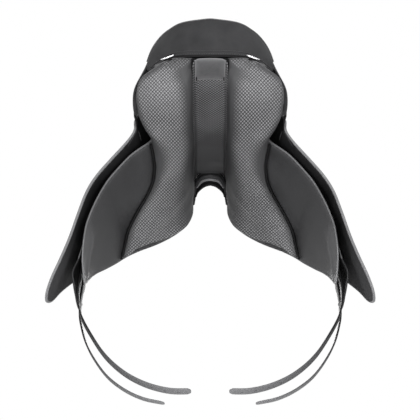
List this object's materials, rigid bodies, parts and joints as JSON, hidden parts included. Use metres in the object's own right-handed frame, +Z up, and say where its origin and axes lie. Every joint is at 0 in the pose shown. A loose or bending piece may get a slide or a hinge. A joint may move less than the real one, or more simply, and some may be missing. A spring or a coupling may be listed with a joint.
{
  "type": "stock saddle",
  "caption": "Synthetic stock riding saddle with a deep padded seat, knee pads, twin panels round an open spine channel, long flaps, girth straps and stirrup bars.",
  "frame": {"origin": "on the centre plane, on the ceiling of the spine channel at the middle of the saddle's length, where a saddle rack or the horse's spine lies under it", "axes": "+Y forwards to the pommel, +Z up out of the seat, +X to the rider's right"},
  "size_m": [0.6276, 0.4901, 0.7],
  "materials": {
    "smooth_synthetic": "satin black synthetic leather",
    "textured_synthetic": "black synthetic with a fine diagonal weave",
    "synthetic_suede": "matte black suede",
    "webbing": "woven nylon web",
    "tree_polymer": "moulded black polymer",
    "stainless_steel": "polished stainless steel"
  },
  "bodies": {
    "saddle": {"seat": "synthetic_suede", "tree": "tree_polymer", "cantle_board": "tree_polymer", "cantle_back": "synthetic_suede", "cantle_welt": "smooth_synthetic", "pommel_facing": "smooth_synthetic", "pommel_piping": "smooth_synthetic", "channel_lining": "textured_synthetic", "rear_tab": "smooth_synthetic", "gullet_plate": "stainless_steel", "girth_web_front": "webbing", "girth_web_rear": "webbing", "gullet_screw_upper_left": "stainless_steel", "gullet_screw_upper_right": "stainless_steel", "gullet_screw_lower_left": "stainless_steel", "gullet_screw_lower_right": "stainless_steel", "panel_left": "textured_synthetic", "panel_right": "textured_synthetic", "panel_piping_left": "smooth_synthetic", "panel_piping_right": "smooth_synthetic", "sweat_flap_left": "smooth_synthetic", "sweat_flap_right": "smooth_synthetic", "seat_welt_left": "smooth_synthetic", "seat_welt_right": "smooth_synthetic", "stirrup_bar_left": "stainless_steel", "stirrup_bar_right": "stainless_steel", "bar_rivet_front_left": "stainless_steel", "bar_rivet_front_right": "stainless_steel", "bar_rivet_rear_left": "stainless_steel", "bar_rivet_rear_right": "stainless_steel", "chape_front_left": "smooth_synthetic", "chape_front_right": "smooth_synthetic", "chape_rear_left": "smooth_synthetic", "chape_rear_right": "smooth_synthetic"},
    "flap_left": {"flap_left": "smooth_synthetic", "knee_pad_left": "smooth_synthetic"},
    "skirt_left": {"skirt_left": "smooth_synthetic"},
    "front_strap_left": {"girth_strap_front_left": "smooth_synthetic"},
    "rear_strap_left": {"girth_strap_rear_left": "smooth_synthetic"},
    "guard_left": {"buckle_guard_left": "smooth_synthetic", "guard_keeper_left": "smooth_synthetic"},
    "catch_left": {"bar_catch_left": "stainless_steel"},
    "dee_front_left": {"dee_front_left": "stainless_steel"},
    "dee_rear_left": {"dee_rear_left": "stainless_steel"},
    "flap_right": {"flap_right": "smooth_synthetic", "knee_pad_right": "smooth_synthetic"},
    "skirt_right": {"skirt_right": "smooth_synthetic"},
    "front_strap_right": {"girth_strap_front_right": "smooth_synthetic"},
    "rear_strap_right": {"girth_strap_rear_right": "smooth_synthetic"},
    "guard_right": {"buckle_guard_right": "smooth_synthetic", "guard_keeper_right": "smooth_synthetic"},
    "catch_right": {"bar_catch_right": "stainless_steel"},
    "dee_front_right": {"dee_front_right": "stainless_steel"},
    "dee_rear_right": {"dee_rear_right": "stainless_steel"}
  },
  "joints": [
    {"name": "flap_lift_left", "type": "hinge", "parent": "saddle", "child": "flap_left", "pos_m": [-0.096, 0.055, -0.005], "axis": [0.2169, 0.976, 0.0217], "range_deg": [0, 36]},
    {"name": "skirt_lift_left", "type": "hinge", "parent": "flap_left", "child": "skirt_left", "pos_m": [-0.096, 0.055, -0.005], "axis": [0.2169, 0.976, 0.0217], "range_deg": [0, 30]},
    {"name": "front_strap_swing_left", "type": "hinge", "parent": "saddle", "child": "front_strap_left", "pos_m": [-0.101, 0.04701, -0.04088], "axis": [0.9985, -0.055, 0], "range_deg": [-5, 6]},
    {"name": "rear_strap_swing_left", "type": "hinge", "parent": "saddle", "child": "rear_strap_left", "pos_m": [-0.11141, 0.00201, -0.04082], "axis": [0.9985, -0.055, 0], "range_deg": [-5, 6]},
    {"name": "guard_slide_left", "type": "slide", "parent": "front_strap_left", "child": "guard_left", "axis": [-0.1136, 0, -0.9935], "range_m": [-0.006, 0.02]},
    {"name": "catch_turn_left", "type": "hinge", "parent": "saddle", "child": "catch_left", "pos_m": [-0.09058, 0.08918, -0.01363], "axis": [-0.9659, 0.0996, -0.239], "range_deg": [0, 68]},
    {"name": "dee_front_swing_left", "type": "hinge", "parent": "saddle", "child": "dee_front_left", "pos_m": [-0.0465, 0.24, 0.0105], "axis": [0.9695, 0.2399, 0.05], "range_deg": [0, 70]},
    {"name": "dee_rear_swing_left", "type": "hinge", "parent": "saddle", "child": "dee_rear_left", "pos_m": [-0.082, -0.2262, 0.0165], "axis": [-0.946, 0.2191, -0.239], "range_deg": [-47, 22]},
    {"name": "flap_lift_right", "type": "hinge", "parent": "saddle", "child": "flap_right", "pos_m": [0.096, 0.055, -0.005], "axis": [0.2169, -0.976, -0.0217], "range_deg": [0, 36]},
    {"name": "skirt_lift_right", "type": "hinge", "parent": "flap_right", "child": "skirt_right", "pos_m": [0.096, 0.055, -0.005], "axis": [0.2169, -0.976, -0.0217], "range_deg": [0, 30]},
    {"name": "front_strap_swing_right", "type": "hinge", "parent": "saddle", "child": "front_strap_right", "pos_m": [0.101, 0.04701, -0.04088], "axis": [0.9985, 0.055, 0], "range_deg": [-5, 6]},
    {"name": "rear_strap_swing_right", "type": "hinge", "parent": "saddle", "child": "rear_strap_right", "pos_m": [0.11141, 0.00201, -0.04082], "axis": [0.9985, 0.055, 0], "range_deg": [-5, 6]},
    {"name": "guard_slide_right", "type": "slide", "parent": "front_strap_right", "child": "guard_right", "axis": [0.1136, 0, -0.9935], "range_m": [-0.006, 0.02]},
    {"name": "catch_turn_right", "type": "hinge", "parent": "saddle", "child": "catch_right", "pos_m": [0.09058, 0.08918, -0.01363], "axis": [-0.9659, -0.0996, 0.239], "range_deg": [0, 68]},
    {"name": "dee_front_swing_right", "type": "hinge", "parent": "saddle", "child": "dee_front_right", "pos_m": [0.0465, 0.24, 0.0105], "axis": [0.9695, -0.2399, -0.05], "range_deg": [0, 70]},
    {"name": "dee_rear_swing_right", "type": "hinge", "parent": "saddle", "child": "dee_rear_right", "pos_m": [0.082, -0.2262, 0.0165], "axis": [-0.946, -0.2191, 0.239], "range_deg": [-47, 22]}
  ],
  "couplings": [
    {"joint": "rear_strap_swing_left", "follows": "front_strap_swing_left", "ratio": 1},
    {"joint": "rear_strap_swing_right", "follows": "front_strap_swing_right", "ratio": 1}
  ]
}
